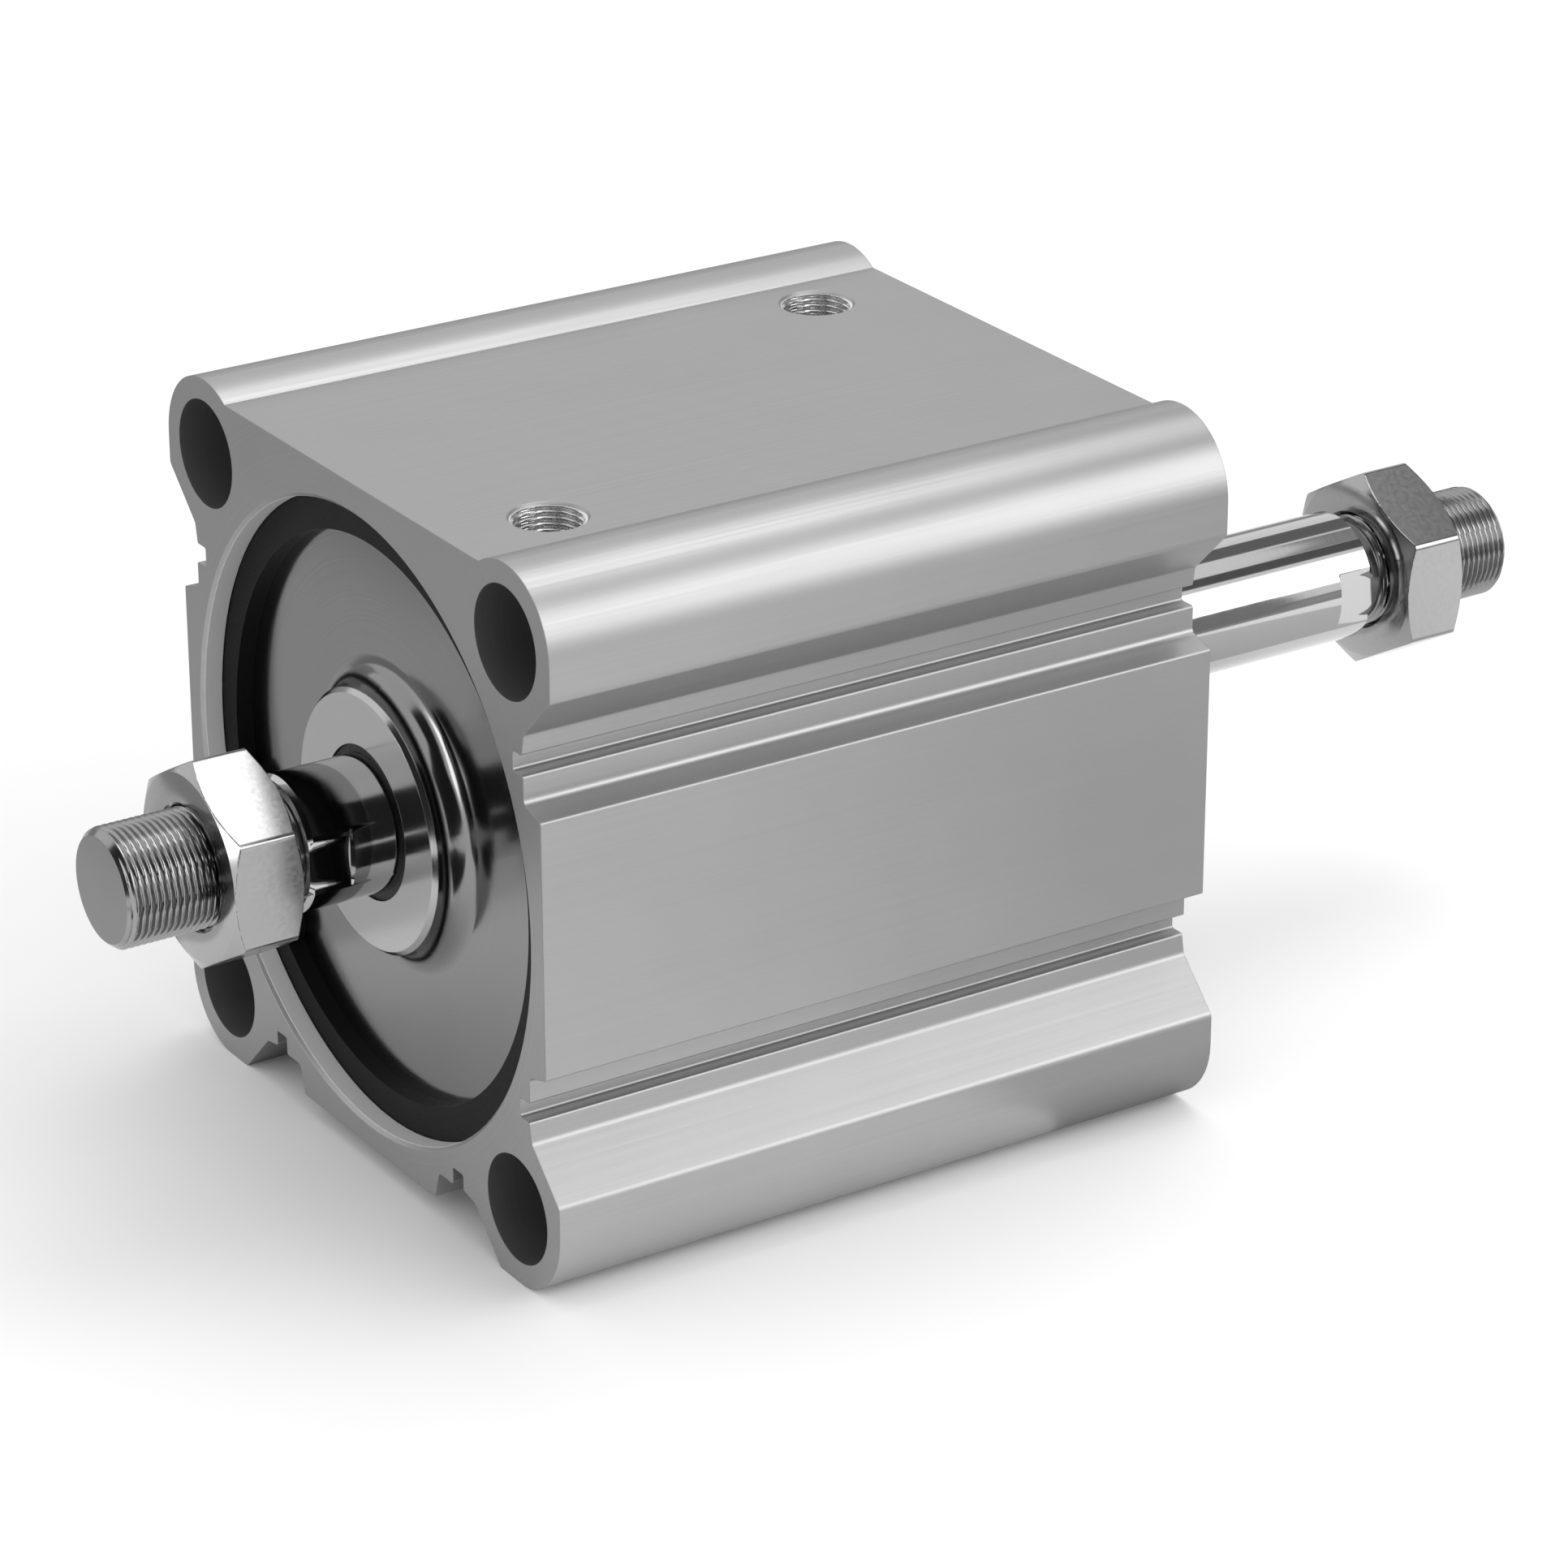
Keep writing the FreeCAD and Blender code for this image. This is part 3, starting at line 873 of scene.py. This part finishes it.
@dataclass
class EndCap:
    """Cover, snap ring, gasket, bush and rod seal at one end."""

    end: End

    def dress(self, finishes: dict[str, bpy.types.Material]) -> None:
        """Give the cap's CAD nodes their materials.

        Args:
            finishes: materials by the node's name without its end.
        """
        for part, finish in finishes.items():
            dress(f"{self.end.value}_{part}", finish)


@dataclass
class PortThread:
    """Cut thread in one air port, as a thin sleeve on the wall of the port's tapping bore.

    Face drop is how far the tube's top face lies below its crowns.
    """

    end: End
    radius: float = 8.0 * MM
    face_drop: float = 3.0 * MM
    mouth_chamfer: float = 0.5 * MM
    wall_gap: float = 0.02 * MM
    pitch: float = 1.337 * MM
    depth: float = 0.62 * MM
    skin: float = 0.08 * MM
    steps_per_pitch: int = 10
    columns: int = 96

    def build(self, finish: bpy.types.Material) -> None:
        """Make the sleeve from the port's mount.

        Going once round the section, the sleeve's radius is its threaded inside from bottom to top, then its
        plain outside from top to bottom.

        Args:
            finish: the thread's material.
        """
        port = mount(f"{self.end.value}_port")
        middle = port["pos_m"]
        length = port["dims"]["length_mm"] * MM
        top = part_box("cylinder_tube")[1].z - self.face_drop - self.mouth_chamfer
        angles = np.arange(self.columns) * TURN / self.columns
        count = round(length / self.pitch * self.steps_per_pitch)
        rise = np.linspace(0.0, length, count + 1)
        outside = self.radius - self.wall_gap
        inside = outside - self.skin - self.depth + thread_cut(rise, angles, self.pitch, self.depth)
        radius = np.concatenate([inside, np.full((2, self.columns), outside)])
        height = top - length + np.concatenate([rise, [length, 0.0]])
        x = middle[0] + radius * np.cos(angles)
        y = middle[1] + radius * np.sin(angles)
        z = np.broadcast_to(height[:, None], radius.shape)
        points = np.stack([x, y, z], axis=-1)
        mesh = surface(f"{self.end.value}_port_thread", points[::-1], ring=True)
        piece(mesh.name, mesh, [finish], "barrel")


@dataclass(frozen=True)
class Panel:
    """A flat lamp, or a painted reflection, that faces the object.

    It stands where rays go that the rod's length throws back to the camera: the angle turns about the rod
    from the side that the camera sees, with 90 degrees straight up, and slide moves the panel along its
    length.
    """

    name: str
    angle: float
    length: float
    height: float
    slide: float = 0.0
    distance: float = 1.3


@dataclass(frozen=True, kw_only=True)
class Lamp(Panel):
    """A soft panel lamp, whose level of 1 is as bright as white paper."""

    level: float


@dataclass(frozen=True, kw_only=True)
class PaintedReflectionCard(Panel):
    """A grey card among the lamps that only reflections show: a painted reflection of darker surroundings."""

    colour: str


@dataclass(frozen=True)
class PaintedFloorReflection:
    """A patch of painted floor shadow, light or dark reflection, seen only in reflections, with its reach
    along X and Y.
    """

    name: str
    along: tuple[float, float]
    across: tuple[float, float]
    colour: str


@dataclass(frozen=True)
class UprightReflectionOrLamp:
    """An upright painted reflection, or a lamp, with its two feet from right to left as the object faces it.
    """

    name: str
    foot: tuple[float, float]
    other_foot: tuple[float, float]
    bottom: float
    top: float
    colour: str = "#161616"
    level: float = 0.0


@dataclass
class Studio:
    """Pale floor, white surround, soft lamps, painted reflections that only the mirror surfaces show, and the
    camera.

    Target is the point that lamps and cards face, and lean is how far their direction leans to the rear.
    """

    floor_level: float = -80.0 * MM
    floor_half: float = 6.0
    floor_colour: str = "#F0F0F0"
    floor_roughness: float = 0.9
    floor_mirror: float = 0.1
    flag_roughness: float = 1.0
    flag_mirror: float = 0.5
    sheet_lift: float = 0.5 * MM
    target: tuple[float, float, float] = (0.09, 0.0, 0.0)
    lean: float = 0.498
    azimuth: float = -32.979
    elevation: float = 23.85
    roll: float = -0.05
    distance: float = 1.2003
    focal_pixels: float = 7057.6
    image_pixels: float = 1932.0
    offset_pixels: tuple[float, float] = (-524.32, 49.61)
    sensor: float = 36.0
    near_clip: float = 0.01
    lamps: tuple[Lamp, ...] = (
        Lamp("front_lamp", 34.0, 1.9, 0.8, level=1.75),
        Lamp("top_lamp", 97.0, 0.72, 0.7, slide=-0.26, level=2.05),
    )
    # Grey cards that only mirror rays see: painted reflections that darken bands on the rods, nuts and the
    # tube's crowns.
    cards: tuple[PaintedReflectionCard, ...] = (
        PaintedReflectionCard("card_between_lamps", 71.0, 1.2, 0.26, slide=0.67, distance=1.2, colour="#5A5A5A"),
        PaintedReflectionCard("card_behind", 122.0, 1.2, 0.46, slide=0.67, distance=1.2, colour="#6A6A6A"),
        PaintedReflectionCard("card_over_rear", 92.0, 0.9, 0.4, slide=0.685, distance=1.2, colour="#8C8C8C"),
    )
    # Floor patches that only mirror rays see: grey ones are painted shadow of the floor, white and near-white
    # ones painted light on floor in shade, and the black one before the front a painted dark reflection.
    sheets: tuple[PaintedFloorReflection, ...] = (
        PaintedFloorReflection("sheet_behind", (-0.155, 0.6), (0.1, 1.3), "#C8C8C8"),
        PaintedFloorReflection("sheet_far_behind", (-1.2, -0.155), (0.1, 1.3), "#929292"),
        PaintedFloorReflection("sheet_before_front", (-0.24, -0.02), (-0.45, -0.09), "#0A0A0A"),
        PaintedFloorReflection("sheet_beside_front", (-0.02, 0.11), (-0.33, -0.14), "#E8E8E8"),
        PaintedFloorReflection("sheet_beside", (0.11, 0.2), (-0.33, -0.14), "#D0D0D0"),
        PaintedFloorReflection("sheet_under_lobe", (-0.02, 0.13), (-0.14, -0.07), "#FFFFFF"),
        PaintedFloorReflection("sheet_under_lobe_rear", (0.13, 0.2), (-0.14, -0.07), "#B8B8B8"),
        PaintedFloorReflection("sheet_beside_pad", (0.2, 0.3), (-0.33, -0.16), "#9A9A9A"),
        PaintedFloorReflection("sheet_under_rod", (0.2, 0.3), (-0.16, -0.02), "#C2C2C2"),
        PaintedFloorReflection("sheet_beside_rear", (0.3, 0.36), (-0.33, -0.02), "#C2C2C2"),
        PaintedFloorReflection("sheet_far_beside", (0.36, 2.0), (-1.8, -0.28), "#848484"),
    )
    # Upright patches that only mirror rays see are painted dark reflections; the black one by the camera
    # darkens the boss's wall. The strip is a real lamp.
    screens: tuple[UprightReflectionOrLamp, ...] = (
        UprightReflectionOrLamp("camera_side_screen", (-0.95, -0.15), (-0.25, -1.0), -0.08, 1.2),
        UprightReflectionOrLamp("front_high_screen", (-0.85, 0.5), (-0.95, -0.15), 0.35, 1.3),
        UprightReflectionOrLamp("far_screen", (2.2, 1.4), (-0.6, 1.4), -0.08, 0.35, "#9A9A9A"),
        UprightReflectionOrLamp("rod_side_screen", (0.48, -0.36), (0.36, -0.36), -0.08, 0.085, "#848484"),
        UprightReflectionOrLamp("front_strip_lamp", (-1.1, 0.7), (-1.2, 0.0), -0.06, 0.2, level=3.0),
    )

    def camera(self) -> None:
        """Set the camera on a sphere round the origin, then slide it by the framing offset."""
        turn = math.radians(self.azimuth)
        lift = math.radians(self.elevation)
        tilt = math.radians(self.roll)
        back = Vector((math.sin(turn) * math.cos(lift), -math.cos(turn) * math.cos(lift), math.sin(lift)))
        right = (-back).cross(Vector((0.0, 0.0, 1.0))).normalized()
        up = right.cross(-back)
        right, up = (
            right * math.cos(tilt) + up * math.sin(tilt),
            up * math.cos(tilt) - right * math.sin(tilt),
        )
        per_pixel = self.distance / self.focal_pixels
        slide = -right * (self.offset_pixels[0] * per_pixel) + up * (self.offset_pixels[1] * per_pixel)
        lens = bpy.data.cameras.new("camera")
        lens.sensor_width = self.sensor
        lens.lens = self.focal_pixels / self.image_pixels * self.sensor
        lens.clip_start = self.near_clip
        camera = bpy.data.objects.new("camera", lens)
        place = Matrix((right, up, back)).transposed().to_4x4()
        place.translation = back * self.distance + slide
        camera.matrix_world = place
        bpy.context.scene.collection.objects.link(camera)
        bpy.context.scene.camera = camera

    def place(self, panel: Panel) -> Matrix:
        """Give the place of a panel that faces the target, with its long side along X.

        Args:
            panel: the lamp or card.

        Returns:
            The panel's matrix: its Z axis points away from the target.
        """
        angle = math.radians(panel.angle)
        across = math.sqrt(1.0 - self.lean**2)
        away = Vector((self.lean, -across * math.cos(angle), across * math.sin(angle)))
        side = (Vector((1.0, 0.0, 0.0)) - away * away.x).normalized()
        matrix = Matrix((side, away.cross(side), away)).transposed().to_4x4()
        matrix.translation = Vector(self.target) + away * panel.distance + side * panel.slide
        return matrix

    def lamp(self, name: str, place: Matrix, length: float, height: float, level: float) -> None:
        """Hang a soft panel lamp, whose level of 1 is as bright as white paper.

        Args:
            name: the lamp's name.
            place: its matrix, with its Z axis away from the object.
            length: its size along its X axis.
            height: its size along its Y axis.
            level: its brightness.
        """
        light = bpy.data.lights.new(name, "AREA")
        light.shape = "RECTANGLE"
        light.size = length
        light.size_y = height
        light.energy = level * math.pi * length * height
        thing = bpy.data.objects.new(name, light)
        thing.matrix_world = place
        thing.visible_camera = False
        bpy.context.scene.collection.objects.link(thing)

    def rectangle(
        self, name: str, corners: np.ndarray, colour: str, roughness: float, mirror: float
    ) -> bpy.types.Object:
        """Make a rectangle of matt paint or paper: an even tone with hardly any gloss.

        Args:
            name: the rectangle's name.
            corners: its four corners in order.
            colour: its colour.
            roughness: its roughness.
            mirror: how far it throws back light as a mirror does, with 0.5 for plain gloss.

        Returns:
            The new object.
        """
        mesh = bpy.data.meshes.new(name)
        mesh.from_pydata(corners.tolist(), [], [(0, 1, 2, 3)])
        material = bpy.data.materials.new(f"matt_{name}")
        material.use_nodes = True
        shader = material.node_tree.nodes["Principled BSDF"]
        shader.inputs["Base Color"].default_value = linear(colour)
        shader.inputs["Roughness"].default_value = roughness
        shader.inputs["Specular IOR Level"].default_value = mirror
        mesh.materials.append(material)
        thing = bpy.data.objects.new(name, mesh)
        bpy.context.scene.collection.objects.link(thing)
        return thing

    def flag(self, name: str, corners: np.ndarray, colour: str) -> None:
        """Set a matt rectangle that only reflections show: a painted reflection, which casts no shadow and
        lights nothing.

        Args:
            name: the flag's name.
            corners: its four corners.
            colour: its colour.
        """
        thing = self.rectangle(name, corners, colour, self.flag_roughness, self.flag_mirror)
        thing.visible_camera = False
        thing.visible_diffuse = False
        thing.visible_shadow = False
        thing.visible_transmission = False

    def card(self, panel: PaintedReflectionCard) -> None:
        """Stand a card among the lamps, as a painted reflection.

        Args:
            panel: the card's place, size and colour.
        """
        square = np.array([[-0.5, -0.5], [0.5, -0.5], [0.5, 0.5], [-0.5, 0.5]])
        place = self.place(panel)
        corners = [place @ Vector((x * panel.length, y * panel.height, 0.0)) for x, y in square]
        self.flag(panel.name, np.array(corners), panel.colour)

    def sheet(self, paper: PaintedFloorReflection) -> None:
        """Lay a patch of painted shadow, light or dark reflection on the floor, which only mirror rays see.

        Args:
            paper: the patch's reach and colour.
        """
        level = self.floor_level + self.sheet_lift
        near, far = paper.across
        low, high = paper.along
        corners = np.array([[low, near, level], [high, near, level], [high, far, level], [low, far, level]])
        self.flag(paper.name, corners, paper.colour)

    def screen(self, wall: UprightReflectionOrLamp) -> None:
        """Stand an upright painted reflection, or a lamp where its level says so.

        Args:
            wall: the patch's feet, bottom, top and colour, or the lamp's level.
        """
        right = Vector((*wall.foot, wall.bottom))
        left = Vector((*wall.other_foot, wall.bottom))
        rise = Vector((0.0, 0.0, wall.top - wall.bottom))
        if wall.level > 0.0:
            along = left - right
            axes = (along.normalized(), rise.normalized(), along.cross(rise).normalized())
            place = Matrix(axes).transposed().to_4x4()
            place.translation = (right + left + rise) / 2.0
            self.lamp(wall.name, place, along.length, rise.length, wall.level)
            return
        self.flag(wall.name, np.array([right, left, left + rise, right + rise]), wall.colour)

    def floor(self) -> None:
        """Lay the pale matt floor under the tube."""
        reach = self.floor_half
        square = np.array([[-reach, -reach], [reach, -reach], [reach, reach], [-reach, reach]])
        corners = np.column_stack([square, np.full(len(square), self.floor_level)])
        thing = self.rectangle("floor", corners, self.floor_colour, self.floor_roughness, self.floor_mirror)

    def world(self) -> None:
        """Surround the scene with white, at the level where white paper is white."""
        world = bpy.data.worlds.new("white_surround")
        bpy.context.scene.world = world
        world.use_nodes = True
        tree = world.node_tree
        tree.nodes.clear()
        white = add(tree, "ShaderNodeBackground", {"Color": linear("#FFFFFF"), "Strength": 1.0}, {})
        add(tree, "ShaderNodeOutputWorld", {}, {"Surface": white.outputs["Background"]})

    def build(self) -> None:
        """Set floor, surround, lamps, painted reflections of cards, floor patches and screens, the strip
        lamp, and camera.
        """
        bpy.context.scene.view_settings.view_transform = "Standard"
        self.floor()
        self.world()
        for panel in self.lamps:
            self.lamp(panel.name, self.place(panel), panel.length, panel.height, panel.level)
        for panel in self.cards:
            self.card(panel)
        for paper in self.sheets:
            self.sheet(paper)
        for wall in self.screens:
            self.screen(wall)
        self.camera()


def main() -> None:
    """Build every piece, dress every CAD node and set the studio."""
    logging.basicConfig(level=logging.INFO, format="%(message)s")
    # The ends' darker tone and the bolt holes' dark walls are painted shade.
    tube_zones = {Zone.ENDS: FACED_AND_SHADED_FINISH, Zone.BORE: HONED_FINISH, Zone.BOLTS: DRILLED_AND_SHADED_FINISH}
    tube = TUBE_FINISH.build(tube_zones, EDGE_BREAK)
    cover = COVER_FINISH.build({Zone.BOSS: BOSS_FINISH}, EDGE_BREAK)
    tapped = TAPPED_FINISH.build()
    rubber = RUBBER_FINISH.build()
    chrome = CHROME_FINISH.build()
    thread = THREAD_FINISH.build()
    nut = NUT_FINISH.build()
    dress("cylinder_tube", tube)
    cap = {
        "rod_cover": cover,
        "retaining_ring": RING_FINISH.build(),
        "cover_gasket": rubber,
        "rod_bush": BRONZE_FINISH.build(),
        "rod_seal": rubber,
    }
    for end in End:
        EndCap(end).dress(cap)
    dress("piston", PISTON_FINISH.build())
    dress("piston_seal", rubber)
    dress("piston_gasket", rubber)
    dress("wear_ring", GUIDE_FINISH.build())
    dress("magnet_ring", MAGNET_FINISH.build())
    stop = BUMPER_FINISH.build()
    for end in End:
        dress(f"{end.value}_bumper", stop)
        PistonRod(end).build(chrome, thread)
        LockNut(end).build(nut)
        PortThread(end).build(tapped)
    Studio().build()


if __name__ == "__main__":
    main()
